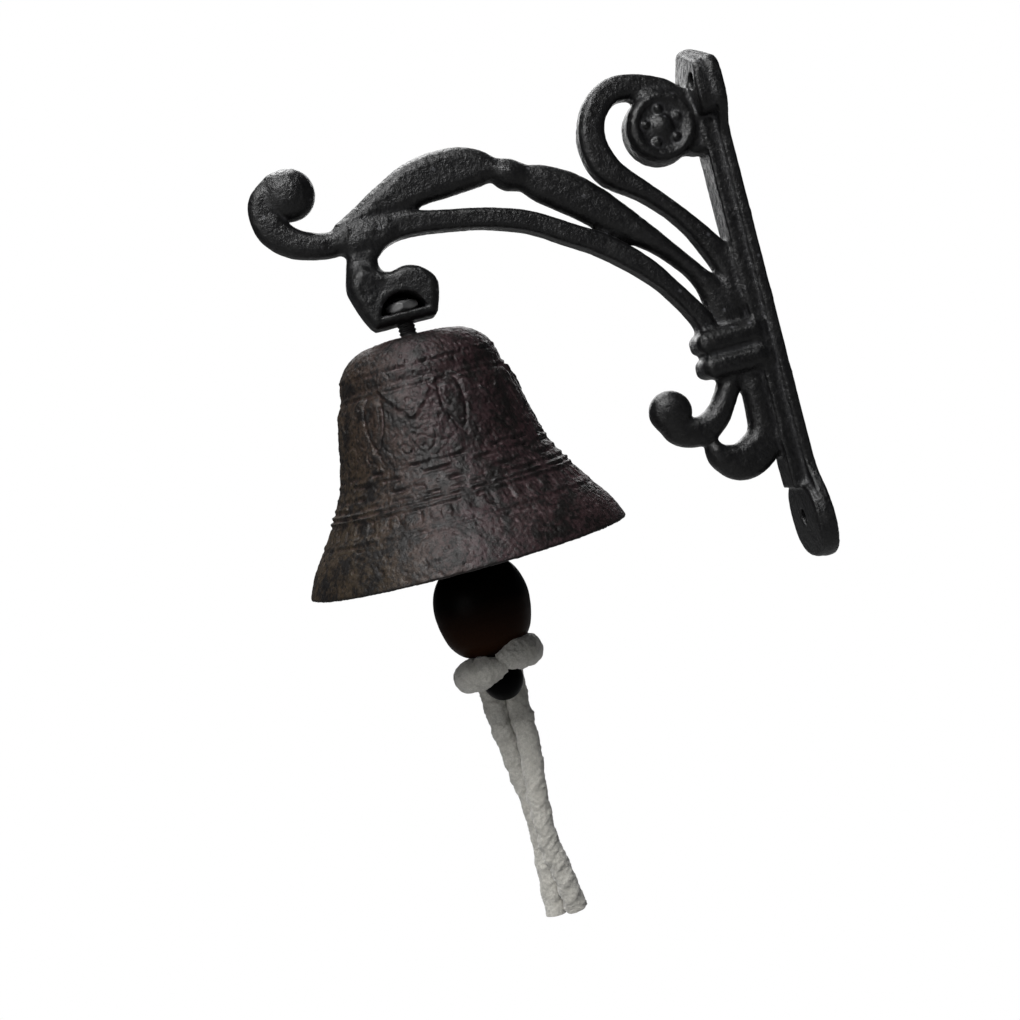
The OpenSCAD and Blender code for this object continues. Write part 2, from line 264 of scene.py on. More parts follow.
def revolve(profile, sides, relief=None):
    """Rings of points about the bell's axis; relief(angle, radius, height, points) moves them out."""
    angle = np.linspace(0, 2 * math.pi, sides, endpoint=False)
    slope = np.gradient(profile, axis=0)
    slope /= np.maximum(np.linalg.norm(slope, axis=1, keepdims=True), 1e-9)
    r, z = profile[:, :1], profile[:, 1:]
    outward_r, outward_z = -slope[:, 1:], slope[:, :1]
    angle = angle[None, :]

    def place(radius, height):
        return np.stack([radius * np.cos(angle), AXIS_Y + radius * np.sin(angle),
                         np.broadcast_to(height, (len(profile), sides))], -1)

    if relief:
        out = relief(angle, r, z, place(r + 0 * angle, z).reshape(-1, 3))
        r, z = r + outward_r * out, z + outward_z * out
    return place(r + 0 * angle, z).reshape(-1, 3)


# ---- Materials ----

def node(tree, kind, **settings):
    made = tree.nodes.new(kind)
    for key, value in settings.items():
        setattr(made, key, value)
    return made


def noise(tree, vector, scale, detail=4, roughness=0.55):
    made = node(tree, "ShaderNodeTexNoise")
    made.inputs["Scale"].default_value = scale
    made.inputs["Detail"].default_value = detail
    made.inputs["Roughness"].default_value = roughness
    tree.links.new(vector, made.inputs["Vector"])
    return made.outputs["Fac"]


def ramp(tree, value, stops):
    """Colour ramp: stops are (position, (r, g, b)) or (position, grey)."""
    made = node(tree, "ShaderNodeValToRGB")
    elements = made.color_ramp.elements
    while len(elements) < len(stops):
        elements.new(0.5)
    for element, (at, colour) in zip(elements, stops):
        element.position = at
        grey = isinstance(colour, (int, float))
        element.color = (colour, colour, colour, 1) if grey else (*colour, 1)
    tree.links.new(value, made.inputs["Fac"])
    return made.outputs["Color"]


def mix(tree, factor, a, b):
    """Colour a where factor is 0 and b where it is 1."""
    made = node(tree, "ShaderNodeMix", data_type="RGBA", blend_type="MIX")
    for socket, value in ((made.inputs[0], factor), (made.inputs[6], a), (made.inputs[7], b)):
        if isinstance(value, bpy.types.NodeSocket):
            tree.links.new(value, socket)
        elif isinstance(value, (int, float)):
            socket.default_value = value
        else:
            socket.default_value = (*value, 1)
    return made.outputs[2]


def bump(tree, height, strength, distance, normal=None):
    made = node(tree, "ShaderNodeBump")
    made.inputs["Strength"].default_value = strength
    made.inputs["Distance"].default_value = distance
    tree.links.new(height, made.inputs["Height"])
    if normal is not None:
        tree.links.new(normal, made.inputs["Normal"])
    return made.outputs["Normal"]


def fade(tree, value, start, end, top=1.0):
    """0 up to start, rising to top at end, for a place in metres."""
    made = node(tree, "ShaderNodeMapRange")
    made.inputs["From Min"].default_value = start
    made.inputs["From Max"].default_value = end
    made.inputs["To Max"].default_value = top
    tree.links.new(value, made.inputs["Value"])
    return made.outputs["Result"]


def split_place(tree, place):
    """Outputs X, Y and Z of a place."""
    made = node(tree, "ShaderNodeSeparateXYZ")
    tree.links.new(place, made.inputs["Vector"])
    return made.outputs


def new_material(name):
    """A material with its node tree, its shader and its object coordinates."""
    material = bpy.data.materials.new(name)
    material.use_nodes = True
    tree = material.node_tree
    shader = tree.nodes["Principled BSDF"]
    place = node(tree, "ShaderNodeTexCoord").outputs["Object"]
    return material, tree, shader, place


def pointiness(tree, low, high):
    """Near 1 on raised edges and near 0 in hollows."""
    made = node(tree, "ShaderNodeNewGeometry")
    return ramp(tree, made.outputs["Pointiness"], [(low, 0.0), (high, 1.0)])


def bracket_iron():
    """Black painted grey iron: sand-cast grain, paler on raised edges as worn paint and as a painted
    highlight, with dusty patches.
    """
    material, tree, shader, place = new_material("black_cast_iron")
    patches = noise(tree, place, 60, 5)
    colour = ramp(tree, patches, [(0.3, (0.0025, 0.0025, 0.0027)), (0.7, (0.006, 0.0059, 0.0062))])
    worn_and_highlight_grey = (0.048, 0.048, 0.052)
    dust_grey = (0.016, 0.0156, 0.015)
    # Raised edges paler: worn paint, and a painted highlight where light catches them.
    colour = mix(tree, pointiness(tree, 0.5, 0.59), colour, worn_and_highlight_grey)
    grain = noise(tree, place, 1500, 3, 0.6)
    dust = ramp(tree, noise(tree, place, 320, 4), [(0.58, 0.0), (0.8, 1.0)])
    colour = mix(tree, dust, colour, dust_grey)
    tree.links.new(colour, shader.inputs["Base Color"])
    rough = ramp(tree, noise(tree, place, 400, 4), [(0.3, 0.28), (0.7, 0.46)])
    tree.links.new(rough, shader.inputs["Roughness"])
    shader.inputs["Metallic"].default_value = 0.2
    shader.inputs["Specular IOR Level"].default_value = 0.45
    coarse = bump(tree, noise(tree, place, 620, 4, 0.65), 0.8, 0.0005)
    tree.links.new(bump(tree, grain, 0.25, 0.0002, coarse), shader.inputs["Normal"])
    return material


def bell_iron():
    """Brown cast iron with a purplish rust and dark pits; raised edges paler as wear and as a painted
    highlight, painted shade in the grooves, paler towards the lip, and an olive side of painted light.
    """
    material, tree, shader, place = new_material("rust_brown_cast_iron")
    patches = noise(tree, place, 45, 5)
    colour = ramp(tree, patches, [(0.32, (0.015, 0.0088, 0.0066)), (0.52, (0.028, 0.0133, 0.0152)),
                                  (0.7, (0.0185, 0.0102, 0.0115))])
    pale_towards_lip, painted_side_light_olive, worn = (0.045, 0.025, 0.0275), (0.034, 0.0235, 0.0135), (0.088, 0.06, 0.063)
    painted_groove_shade, blot, pit = (0.001, 0.0008, 0.0007), (0.005, 0.0038, 0.0034), (0.004, 0.003, 0.003)
    where = split_place(tree, place)
    # Paler towards the lip.
    colour = mix(tree, fade(tree, where["Z"], -0.018, -0.036, 0.45), colour, pale_towards_lip)
    # Painted light: the -Y side turned olive-brown, standing in for a warm light from that side.
    colour = mix(tree, fade(tree, where["Y"], -0.104, -0.13), colour, painted_side_light_olive)
    # Raised edges paler: wear, and a painted highlight where light catches them.
    colour = mix(tree, pointiness(tree, 0.5, 0.62), colour, worn)
    # Painted shade: hollows and grooves turned near-black.
    colour = mix(tree, pointiness(tree, 0.44, 0.5), painted_groove_shade, colour)
    blots = ramp(tree, noise(tree, place, 170, 6, 0.7), [(0.42, 0.0), (0.54, 1.0)])
    colour = mix(tree, blots, blot, colour)
    pits = ramp(tree, noise(tree, place, 800, 5, 0.65), [(0.36, 0.0), (0.5, 1.0)])
    colour = mix(tree, pits, pit, colour)
    tree.links.new(colour, shader.inputs["Base Color"])
    rough = ramp(tree, noise(tree, place, 500, 4), [(0.3, 0.42), (0.7, 0.6)])
    tree.links.new(rough, shader.inputs["Roughness"])
    shader.inputs["Metallic"].default_value = 0.15
    shader.inputs["Specular IOR Level"].default_value = 0.36
    coarse = bump(tree, noise(tree, place, 500, 4, 0.6), 0.6, 0.0007)
    fine = bump(tree, noise(tree, place, 1400, 3), 0.35, 0.0003, coarse)
    tree.links.new(fine, shader.inputs["Normal"])
    return material


def steel(name, low, high):
    """Dull steel whose grey varies between two shades."""
    material, tree, shader, place = new_material(name)
    colour = ramp(tree, noise(tree, place, 300, 4), [(0.3, low), (0.7, high)])
    tree.links.new(colour, shader.inputs["Base Color"])
    rough = ramp(tree, noise(tree, place, 700, 3), [(0.3, 0.35), (0.7, 0.6)])
    tree.links.new(rough, shader.inputs["Roughness"])
    shader.inputs["Metallic"].default_value = 0.5
    tree.links.new(bump(tree, noise(tree, place, 1200, 3), 0.3, 0.0002), shader.inputs["Normal"])
    return material


def clapper_gloss():
    """Near-black lacquer over iron, with a painted brown reflection low on the ball."""
    material, tree, shader, place = new_material("black_lacquer")
    patches = noise(tree, place, 60, 4)
    colour = ramp(tree, patches, [(0.35, (0.0006, 0.0005, 0.0006)), (0.7, (0.0022, 0.0014, 0.001))])
    painted_brown_reflection, knob_black = (0.02, 0.0075, 0.0028), (0.0008, 0.0007, 0.0007)
    height = split_place(tree, place)["Z"]
    # Painted reflection: the lower ball turns brown, standing in for warm light reflected from below.
    colour = mix(tree, fade(tree, height, -0.06, -0.074), colour, painted_brown_reflection)
    colour = mix(tree, fade(tree, height, -0.076, -0.08), colour, knob_black)
    tree.links.new(colour, shader.inputs["Base Color"])
    rough = ramp(tree, noise(tree, place, 250, 4), [(0.3, 0.3), (0.7, 0.46)])
    tree.links.new(rough, shader.inputs["Roughness"])
    shader.inputs["Specular IOR Level"].default_value = 0.03
    tree.links.new(bump(tree, noise(tree, place, 500, 3), 0.12, 0.0002), shader.inputs["Normal"])
    return material


def cotton():
    """Fuzzy off-white cotton, with painted shade greying the hollows between its strands."""
    material, tree, shader, place = new_material("cotton_rope")
    patches = noise(tree, place, 120, 5)
    colour = ramp(tree, patches, [(0.3, (0.43, 0.413, 0.37)), (0.7, (0.6, 0.588, 0.54))])
    painted_hollow_shade, fibre_grey = (0.2, 0.19, 0.165), (0.36, 0.35, 0.32)
    # Painted shade: the hollows between the strands greyed.
    colour = mix(tree, pointiness(tree, 0.4, 0.52), painted_hollow_shade, colour)
    fibres = noise(tree, place, 2200, 4, 0.7)
    colour = mix(tree, ramp(tree, fibres, [(0.35, 0.0), (0.6, 1.0)]), fibre_grey, colour)
    tree.links.new(colour, shader.inputs["Base Color"])
    shader.inputs["Roughness"].default_value = 0.95
    shader.inputs["Sheen Weight"].default_value = 0.4
    shader.inputs["Sheen Roughness"].default_value = 0.5
    coarse = bump(tree, noise(tree, place, 900, 4, 0.7), 0.5, 0.0005)
    tree.links.new(bump(tree, fibres, 0.5, 0.0003, coarse), shader.inputs["Normal"])
    return material


# ---- Pull rope ----

# The rope's thickness, the sides of its skin, and the length over which its strands turn once
ROPE_D = 6.2
ROPE_SIDES = 56
ROPE_TURN = 15.0

# Middle lines of the two hanging ends, in mm
ROPE_FRONT = [(-8.3, -106, -83), (-10, -106, -95), (-11, -105, -108), (-11, -103.6, -121),
              (-11, -103, -134), (-11, -104, -145), (-10, -104.8, -157.5)]
ROPE_BACK = [(-8.3, -99.4, -83), (-9, -99.6, -95), (-6.4, -100, -108), (-4.7, -101.6, -121),
             (-4.7, -102, -134), (-5.4, -100.4, -145), (-7.2, -99, -156.5)]


def tube(path, radius_at):
    """Vertices and faces of a tube along path; radius_at(distance, angles, points) gives its skin."""
    path = np.asarray(path, float)
    tangent = np.gradient(path, axis=0)
    tangent /= np.linalg.norm(tangent, axis=1, keepdims=True)
    across = np.cross(tangent[0], (0.31, 0.95, 0.05))
    distance = np.concatenate([[0], np.cumsum(np.linalg.norm(np.diff(path, axis=0), axis=1))])
    angles = np.linspace(0, 2 * math.pi, ROPE_SIDES, endpoint=False)
    vertices = []
    for centre, t, s in zip(path, tangent, distance):
        across = across - t * (across @ t)
        across /= np.linalg.norm(across)
        other = np.cross(t, across)
        outward = np.cos(angles)[:, None] * across + np.sin(angles)[:, None] * other
        r = radius_at(s, angles, centre + outward * ROPE_D / 2)
        vertices.append(centre + outward * r[:, None])
    return np.vstack(vertices), wrapped(len(path), ROPE_SIDES, False)


def cotton_skin(scale_at, length):
    """Radius of a soft, loosely twisted three-strand rope with lumpy, fuzzy strands."""
    lumps = Waves(3, 8)
    fuzz = Waves(0.8, 2.0, 30)

    def radius(s, angles, points):
        strand = np.abs(np.cos(1.5 * (angles - 2 * math.pi * s / ROPE_TURN)))
        r = ROPE_D / 2 * (0.96 + 0.05 * strand) * scale_at(s / length)
        return r + 0.14 * lumps(points) + 0.07 * fuzz(points)
    return radius


def path_length(path):
    return float(np.linalg.norm(np.diff(path, axis=0), axis=1).sum())


def add_tail(name, route, material):
    """One hanging end of the rope, a little swollen where it leaves the hitch."""
    path = smooth(route, 40)
    length = path_length(path)

    def swelling(t):
        return 1 + 0.16 * math.exp(-(t / 0.3) ** 2) + 0.05 * math.exp(-((t - 1) / 0.1) ** 2)

    vertices, faces = tube(path, cotton_skin(swelling, length))
    tail = add_piece(name + "_cotton", vertices, faces, material, "clapper", [name])
    return tail


# Each half of the hitch round the clapper's neck: [angle, height, thickness over the rope's]
HITCH_RING = 9.0
HITCH_RIGHT = [(156, -83, 1), (130, -80.6, 1.25), (95, -78.8, 1.4), (60, -77.9, 1.46),
               (32, -77.6, 1.5), (10, -77.9, 1.36), (-4, -78.4, 0.8)]
HITCH_LEFT = [(-156, -83, 1), (-130, -82.2, 1.25), (-95, -81.6, 1.36), (-60, -80.8, 1.46),
              (-34, -80.2, 1.5), (-14, -79.7, 1.3), (4, -79.2, 0.8)]


def hitch_half(stations):
    """A fat half turn of the rope, from the top of one tail round to the front."""
    angle, height, thick = smooth(stations, 16).T
    turn = np.radians(angle)
    path = np.stack([HITCH_RING * np.cos(turn), AXIS_Y + HITCH_RING * np.sin(turn), height], 1)
    along = np.linspace(0, 1, len(path))
    return tube(path, cotton_skin(lambda t: np.interp(t, along, thick), path_length(path)))


def add_hitch(material):
    right, right_faces = hitch_half(HITCH_RIGHT)
    left, left_faces = hitch_half(HITCH_LEFT)
    shifted = [tuple(i + len(right) for i in face) for face in left_faces]
    return add_piece("rope_hitch_cotton", np.vstack([right, left]), right_faces + shifted,
                     material, "clapper", ["rope_hitch"])


# ---- Bracket casting: signed distances in mm, negative inside ----

ARM_T = 8.0
BOSS_T = 14.0
FILLET = 2.2
CAST_STEP, FINE_CAST_STEP, STEEL_STEP = 0.4, 0.3, 0.16

# Strips: (Y, Z, width) along their middles. Balls and disc: (Y, Z, radius)
SCROLL = [(-7.5, 4, 9), (-9, 11.8, 8), (-14.2, 21.8, 5.6), (-20.6, 30.8, 4.6), (-27.8, 38.4, 5.2),
          (-35.8, 46, 7.8), (-38.4, 54, 7.8), (-37, 60.8, 7.4), (-33.2, 65.8, 7.4),
          (-28, 67.9, 6.9), (-21, 66.6, 7.2), (-14.5, 62.4, 9), (-10, 56, 9), (-9.2, 48, 7)]
ARM = [(-12, -5, 10), (-13.5, 3, 9.5), (-18.4, 11.8, 5.4), (-26.1, 21.7, 5.8), (-37.1, 32.5, 9.6),
       (-47.2, 41.8, 11.5), (-54.6, 46.8, 10.6), (-59.8, 50, 7.2), (-64, 52, 5.8),
       (-68.2, 54.5, 6.4), (-73.5, 56, 10.8), (-80, 56.6, 13), (-90, 55.7, 12.7),
       (-100, 52.5, 9.7), (-108, 50.3, 5.6), (-114, 49.4, 1.6)]
ARC = [(-19.6, -5, 5), (-21.5, 1, 5), (-27.3, 10.2, 4.8), (-33.8, 18.2, 5.8), (-43, 26.2, 6),
       (-51.9, 31.8, 5.8), (-62, 37.8, 5.8), (-73, 41.5, 5.7), (-84, 43.6, 5.7), (-94, 45.2, 6.4),
       (-103, 45.2, 7.2), (-112, 45.2, 7.2)]
CURL = [(-108, 45.2, 7.2), (-114, 45.2, 7.2), (-119.2, 45, 7), (-126.9, 47.7, 8),
        (-131.7, 52.8, 9), (-132.1, 59.3, 9), (-128.3, 63.8, 7)]
CURL_BULB = (-124.8, 60.8, 7.2)
HOOK = [(-101.5, 44.8, 5), (-106.6, 43, 8.4), (-110, 39, 8.4), (-110.8, 32, 10), (-108, 26, 12)]
LEAF_FRONT = [(-16.2, -18.6, 6.6), (-19.5, -24.8, 6.6), (-23.7, -29.7, 7.6), (-29, -32, 8.6),
              (-34.8, -30.3, 8.6), (-37.2, -25, 8)]
LEAF_BULB = (-36.1, -24.4, 6.2)
LEAF_BACK = [(-10.4, -18.6, 7.4), (-10.4, -27, 7.4), (-10.6, -35, 8.2), (-12.2, -40.4, 11.2),
             (-18.8, -43.6, 11.2), (-24.2, -41.4, 8), (-26.2, -38.6, 5.4)]
BOSS = [(-111.4, 18.8), (-94.6, 18.8), (-93.7, 20), (-91.6, 27.6), (-94.5, 32.1), (-99, 34.1),
        (-104, 33.4), (-108, 34.6), (-112, 36), (-115.6, 31), (-112.4, 20)]
ROSETTE = (-18.4, 54.2, 10.2)
BEAD = (-64.0, 52.0)
BEAD_TILT = math.radians(-27)
COLLAR_TOP, COLLAR_BOTTOM = -5.0, -18.6


class Grid:
    """Points of a box in mm, as three arrays that broadcast to the whole box."""

    def __init__(self, low, high, step):
        self.low, self.step = np.array(low, float), step
        x, y, z = (np.arange(a, b + step, step, dtype=np.float32) for a, b in zip(low, high))
        self.x, self.y, self.z = x[:, None, None], y[None, :, None], z[None, None, :]

    def points(self):
        return np.stack(np.broadcast_arrays(self.x, self.y, self.z), -1).reshape(-1, 3)


def smin(a, b, k):
    """The smaller of two distances, blended where they are within k of each other."""
    h = np.maximum(k - np.abs(a - b), 0) / k
    return np.minimum(a, b) - h * h * k / 4


def smax(a, b, k):
    return -smin(-a, -b, k)


def rounded(flat, across, r):
    """A prism from its flat distance and the distance across it, with edges rounded by r."""
    u, v = flat + r, across + r
    return np.minimum(np.maximum(u, v), 0) + np.hypot(np.maximum(u, 0), np.maximum(v, 0)) - r


def strip_flat(grid, path):
    """Distance to a strip drawn in [Y, Z], whose middle and width are given along it."""
    line = smooth(path, 7)
    best = np.float32(1e3)
    for (y0, z0, w0), (y1, z1, w1) in zip(line, line[1:]):
        dy, dz = y1 - y0, z1 - z0
        t = ((grid.y - y0) * dy + (grid.z - z0) * dz) / (dy * dy + dz * dz)
        t = np.clip(t, 0, 1)
        d = np.hypot(grid.y - y0 - t * dy, grid.z - z0 - t * dz)
        best = np.minimum(best, d - (w0 + (w1 - w0) * t) / 2)
    return best


def strip(path, r):
    """Field of an arm or scroll along a path, with its edges rounded by r."""
    return lambda g: rounded(strip_flat(g, path), np.abs(g.x) - ARM_T / 2, r)


def ball(at, half_width):
    """A round boss across the bracket, domed like a flattened ball."""
    y, z, r = at

    def field(g):
        flat = np.hypot(g.y - y, g.z - z)
        return (np.sqrt((flat / r) ** 2.4 + (np.abs(g.x) / half_width) ** 2.4) - 1) * min(r, half_width)
    return field


def polygon_flat(grid, corners):
    """Distance to a closed polygon in [Y, Z]."""
    best = np.float32(1e6)
    inside = np.zeros(np.broadcast_shapes(grid.y.shape, grid.z.shape), bool)
    for (y0, z0), (y1, z1) in zip(corners, np.roll(corners, -1, axis=0)):
        dy, dz = y1 - y0, z1 - z0
        t = np.clip(((grid.y - y0) * dy + (grid.z - z0) * dz) / (dy * dy + dz * dz), 0, 1)
        best = np.minimum(best, (grid.y - y0 - t * dy) ** 2 + (grid.z - z0 - t * dz) ** 2)
        crosses = (grid.z < z0) != (grid.z < z1)
        side = grid.y < y0 + (grid.z - z0) * dy / (dz if dz else 1e-9)
        inside ^= crosses & side
    return np.where(inside, -np.sqrt(best), np.sqrt(best))


def plate_field(g):
    """Flat bar, a skewed head, a round lower ear, and a rib that runs out before them."""
    bar_half_w, bar_half_h, half_t = 6.5, 60, 1.5
    head_half_w, head_top, head_bottom, head_slope = 10.8, 72.5, 54, 0.38
    ear_z, ear_r, ear_power, ear_t = -64.8, 11.5, 2.4, 5.6
    rib_half_w, rib_half_h = 5.2, 55
    side, up = np.abs(g.x), np.abs(g.z)
    bar = np.maximum(side - bar_half_w, up - bar_half_h)
    lower = (side ** ear_power + np.abs(g.z - ear_z) ** ear_power) ** (1 / ear_power) - ear_r
    slanted_top = (g.z + head_slope * g.x - head_top) * 0.93
    upper = smax(smax(side - head_half_w, slanted_top, 3), head_bottom - g.z, 6)
    ear = np.minimum(lower, upper)
    slab = rounded(smin(bar, ear, 8), np.abs(g.y + half_t) - half_t, 0.7)
    head_t = 5.2 + 0.24 * np.clip(76 - g.z, 0, 12)
    depth = np.where(g.z > 0, head_t, ear_t) / 2
    domed = 0.002 * (g.x ** 2 + (up - 64) ** 2)
    ears = rounded(ear, np.abs(g.y + depth) - depth + domed, 0.9)
    front = 3.7 + 0.15 * between(g.z, -60, -40, 2)
    rib = rounded(np.maximum(side - rib_half_w, up - rib_half_h), np.abs(g.y + front) - front, 0.8)
    whole = smin(smin(slab, ears, 1.5), rib, 1.6)
    for x, z in HOLES:
        whole = smax(whole, HOLE_R - np.hypot(g.x - x, g.z - z), 0.5)
    return whole


def rosette_field(g):
    """Disc with a raised rim, a button and small studs on each face."""
    half_t, rim_r, rim_wire_r, button_r = 4.5, 8.1, 1.2, 2.8
    studs, stud_ring_r, stud_r, first_stud = 5, 5, 1.2, 20
    y, z, r = ROSETTE
    across, up = g.y - y, g.z - z
    out = np.hypot(across, up)
    face = np.abs(g.x) - half_t
    disc = rounded(out - r, face, 2)
    rim = np.hypot(out - rim_r, face) - rim_wire_r
    whole = smin(disc, rim, 1.8)
    button = np.sqrt(out ** 2 + (face * 1.6) ** 2) - button_r
    whole = smin(whole, button, 2)
    for k in range(studs):
        turn = math.radians(360 / studs * k + first_stud)
        stud = np.sqrt((across - stud_ring_r * math.cos(turn)) ** 2
                       + (up - stud_ring_r * math.sin(turn)) ** 2 + face ** 2) - stud_r
        whole = smin(whole, stud, 0.8)
    return whole


def bead_field(g):
    """Slightly flattened ball at the arm's waist, leaning with the arm."""
    half_along, half_over, half_across = 4.6, 4.4, 4.7
    y, z = BEAD
    along = (g.y - y) * math.cos(BEAD_TILT) + (g.z - z) * math.sin(BEAD_TILT)
    over = (g.z - z) * math.cos(BEAD_TILT) - (g.y - y) * math.sin(BEAD_TILT)
    out = np.sqrt((along / half_along) ** 2 + (over / half_over) ** 2 + (g.x / half_across) ** 2)
    return (out - 1) * half_over


def boss_field(g):
    """The hook's foot: a block with an arched recess for the nut in its side."""
    dish_at, dish_depth, dish_r = (-107.5, 29.5), 0.7, 4
    hook_half_t, edge_r, bore_r = 4.5, 2.4, 2.6
    outline = np.array(BOSS[:2] + smooth(BOSS[2:], 4).tolist())
    dish = dish_depth * ridge(np.hypot(g.y - dish_at[0], g.z - dish_at[1]), dish_r)
    body = rounded(polygon_flat(g, outline), np.abs(g.x) - BOSS_T / 2 + dish, edge_r)
    hook = rounded(strip_flat(g, HOOK), np.abs(g.x) - hook_half_t, edge_r)
    body = smin(body, hook, 3)
    arch = np.hypot(g.y - AXIS_Y, g.z - POCKET_Z) - POCKET_R
    recess = np.maximum(np.maximum(arch, POCKET_FLOOR - g.z), -POCKET_DEPTH - g.x)
    body = smax(body, -recess, 0.9)
    bore = np.maximum(np.hypot(g.x, g.y - AXIS_Y) - bore_r, np.abs(g.z - 20) - 5)
    return smax(body, -bore, 0.2)


def collar_field(g):
    """Band round the arms: a flat waist between two rounded rims."""
    waist_y, waist_half_w, waist_half_d, waist_half_h = -13.6, 5.5, 9, 6.6
    rim_y, rim_half_w, rim_half_d, rim_r, rim_half_flat = -14.8, 6.8, 9.8, 2.4, 0.6
    middle = (COLLAR_TOP + COLLAR_BOTTOM) / 2
    waist = np.maximum(np.abs(g.x) - waist_half_w, np.abs(g.y - waist_y) - waist_half_d)
    whole = rounded(waist, np.abs(g.z - middle) - waist_half_h, 1.2)
    for z in (-8.2, -15.2):
        flat = rounded(np.abs(g.x) - rim_half_w, np.abs(g.y - rim_y) - rim_half_d, 3) + rim_r
        above = np.maximum(np.abs(g.z - z) - rim_half_flat, 0)
        rim = np.hypot(np.maximum(flat, 0), above) - rim_r
        whole = smin(whole, rim, 0.8)
    return whole


def curl_field(g):
    return smin(strip(CURL, 2.8)(g), ball(CURL_BULB, 6)(g), 1.2)


def leaf_front_field(g):
    return smin(strip(LEAF_FRONT, 3.4)(g), ball(LEAF_BULB, 5)(g), 1.0)


# Each member: its field, and the low and high corners of the box around it
MEMBERS = {
    "wall_plate": (plate_field, (-13, -10, -78), (13, 1, 78)),
    "upper_scroll": (strip(SCROLL, 2.2), (-6, -45, -3), (6, 0, 74)),
    "scroll_rosette": (rosette_field, (-8, -31, 41), (8, 0, 67)),
    "main_arm": (strip(ARM, 3.6), (-6, -118, -12), (6, -5, 66)),
    "arm_bead": (bead_field, (-6, -70, 45), (6, -57, 58)),
    "lower_arc": (strip(ARC, 1.6), (-6, -118, -10), (6, -15, 51)),
    "front_curl": (curl_field, (-8, -138, 39), (8, -102, 70)),
    "bell_boss": (boss_field, (-8, -119, 17), (8, -89, 50)),
    "collar_band": (collar_field, (-9, -28, -21), (9, 0, -3)),
    "lower_scroll_front": (leaf_front_field, (-7, -44, -38), (7, -12, -12)),
    "lower_scroll_back": (strip(LEAF_BACK, 3.4), (-6, -32, -52), (6, -5, -12)),
}


def boxes_meet(a, b):
    """True where two boxes are near enough for their members to blend."""
    margin = 5
    return all(a[1][i] + margin > b[0][i] and b[1][i] + margin > a[0][i] for i in range(3))


def add_voxels(name, grid, field, material, body, replaced):
    """The closed surface where a field over a grid is zero, as a piece."""
    level = openvdb.FloatGrid(3.0)
    level.copyFromArray(np.ascontiguousarray(field, dtype=np.float32))
    points, _, quads = level.convertToPolygons(isovalue=0.0, adaptivity=0.0)
    vertices = grid.low + points * grid.step
    return add_piece(name, vertices, quads[:, ::-1], material, body, replaced)


def add_casting(name, material, step):
    """One member of the bracket, as a closed piece that runs into its neighbours."""
    low, high = MEMBERS[name][1:]
    grid = Grid(low, high, step)
    shape = np.broadcast_shapes(grid.x.shape, grid.y.shape, grid.z.shape)
    fields = {n: np.broadcast_to(f(grid), shape)
              for n, (f, lo, hi) in MEMBERS.items() if boxes_meet((low, high), (lo, hi))}
    nearest_other = np.float32(50)
    whole = fields[name]
    for n, f in fields.items():
        if n != name:
            nearest_other = np.minimum(nearest_other, f)
            whole = smin(whole, f, FILLET)
    past = np.maximum((fields[name] - nearest_other) / 2, 0)
    points = grid.points()
    rough = 0.035 * CAST_LUMPS(points) + 0.02 * CAST_GRAIN(points)
    whole = np.maximum(whole + past ** 2 + rough.reshape(shape), grid.y)
    return add_voxels(name + "_cast", grid, whole, material, "bracket", [name])


# ---- Bell: an outline close to the CAD's, with its cast relief ----

LEAD = math.radians(-15.7)
PENNANTS = 7
BELL_SIDES = 660
BELL_BORE_R = 2.65

# Lines round the bell: (height, how far each stands out or is cut in, half its width)
LINES = [(7.3, 0.26, 0.6), (6.2, -0.34, 0.45), (1.9, 0.24, 0.5), (0.9, -0.34, 0.42),
         (-26.6, 0.2, 0.4), (-27.5, -0.25, 0.4), (-28.5, 0.4, 0.45), (-29.2, -0.3, 0.3),
         (-29.9, 0.36, 0.42), (-30.8, -0.35, 0.4), (-35.6, 0.16, 0.5), (-36.5, -0.24, 0.45)]

# Rows of dashes: (height, dashes, seed)
DASHES = [(-19.6, 17, 1.0), (-21.9, 15, 4.0), (-25.0, 13, 2.0)]


def bell_side(inset):
    """[radius, height] from the flat crown round the shoulder to the lip, moved in by inset."""
    turn = np.radians(np.linspace(90, 0, 13))
    shoulder = np.stack([11.1 + (12 - inset) * np.cos(turn),
                         CROWN_TOP - 12.2 + (12 - inset) * np.sin(turn)], 1)
    wall = smooth([(25.2, -2), (29.2, -19), (31.5, -24.6), (36.6, -33.2), (42.6, -41.9),
                   (45.4, MOUTH_Z + 0.9), (45.3, MOUTH_Z)], 6)
    wall[:, 0] -= inset
    return np.vstack([shoulder, wall])


def pennant_relief(angle, r, z):
    """Hanging pennants with raised rims, and a leaf outlined by a groove between each two."""
    period = 2 * math.pi / PENNANTS
    offset = (angle - LEAD + period / 2) % period - period / 2
    top, tip, half = 1.6, -7.4, 8.0
    edge = (half * (z - tip) / (top - tip) - np.abs(offset * r)) * 0.74
    height = between(z, tip, top, 0.2)
    out = height * (0.5 * ridge(edge, 0.6) + 0.14 * between(edge, 0, 9, 0.3))
    beside = (np.abs(offset) - period / 2) * r
    oval = np.sqrt((beside / (3 + 0.12 * (z + 6))) ** 2 + ((z + 5.8) / 7.4) ** 2) - 1
    return out - 0.5 * ridge(oval * 3, 0.5) + 0.25 * between(oval * 3, -9, -0.6, 0.3)


def broken(angle, count, gap, seed):
    """Dashes round the bell, of uneven lengths."""
    second_count = math.floor(count * 0.618)
    wave = np.sin(count * angle + seed) + 0.7 * np.sin(second_count * angle + 2.3 * seed)
    return between(wave, gap, 9, 0.12)


